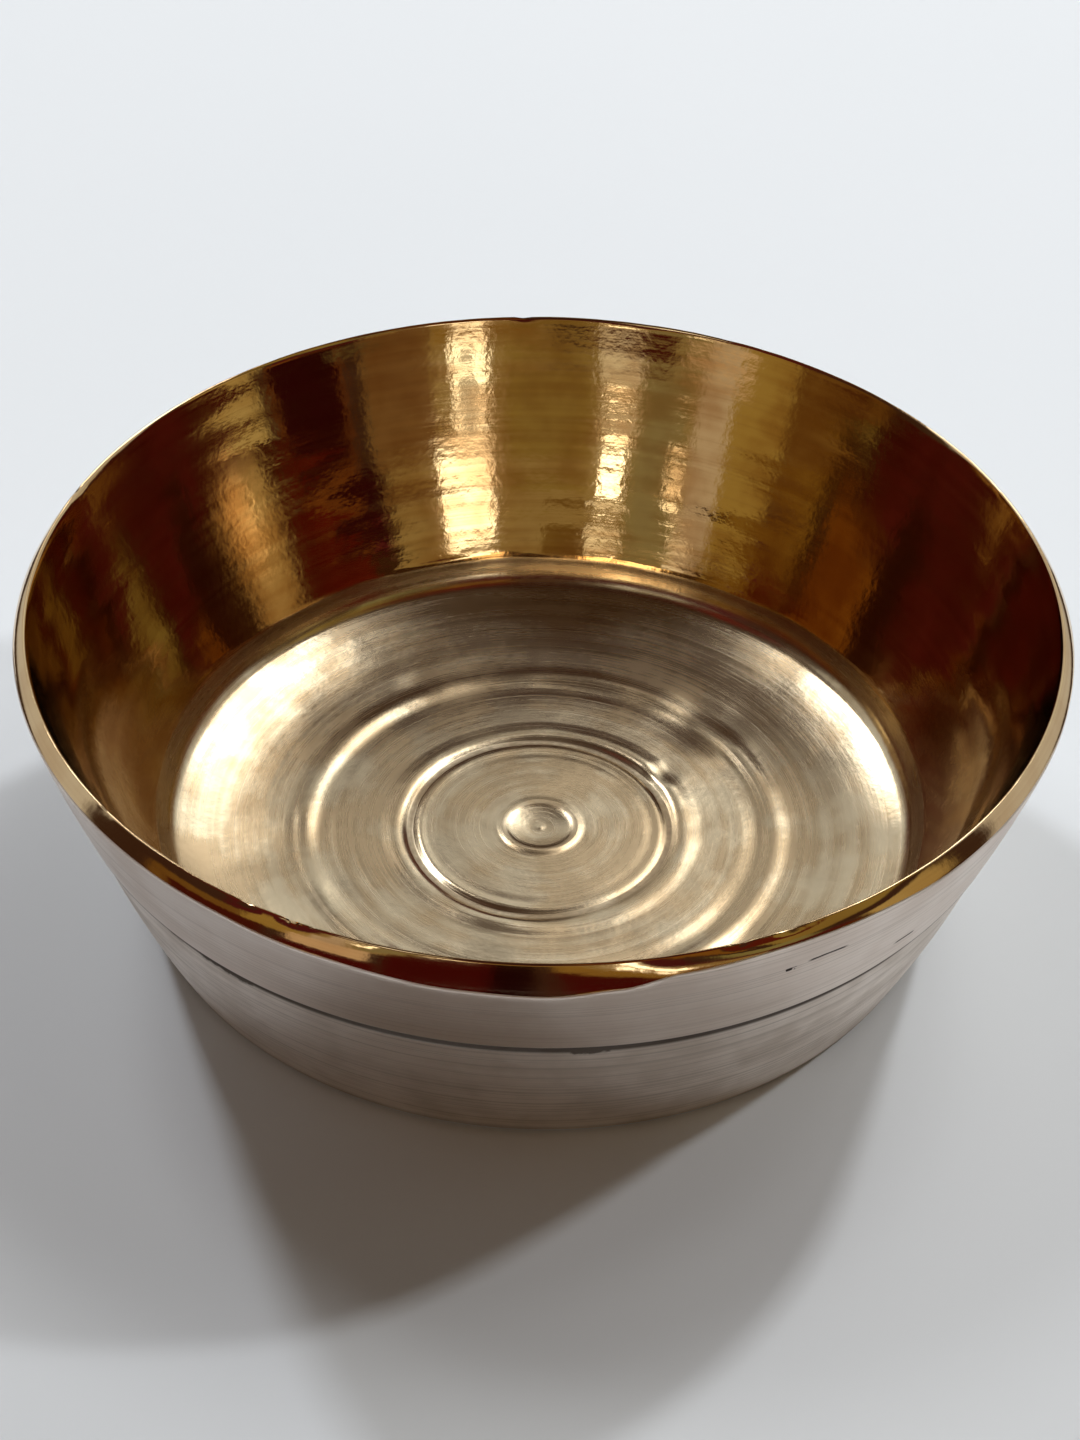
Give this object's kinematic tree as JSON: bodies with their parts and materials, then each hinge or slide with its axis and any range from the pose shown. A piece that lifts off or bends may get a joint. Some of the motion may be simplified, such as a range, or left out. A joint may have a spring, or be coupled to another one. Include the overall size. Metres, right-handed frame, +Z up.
{
  "type": "bowl",
  "caption": "Small flaring turned bronze bowl with a banded rim and a ringed, dished floor.",
  "frame": {"origin": "on the bowl's axis, in the plane that its foot stands on", "axes": "+Z up along the axis the bowl was turned on; X and Y lie in the plane of the foot"},
  "size_m": [0.1, 0.1, 0.0306],
  "materials": {
    "bronze": "polished inside, satin turned outside"
  },
  "bodies": {
    "root": {"bowl": "bronze"}
  },
  "joints": []
}
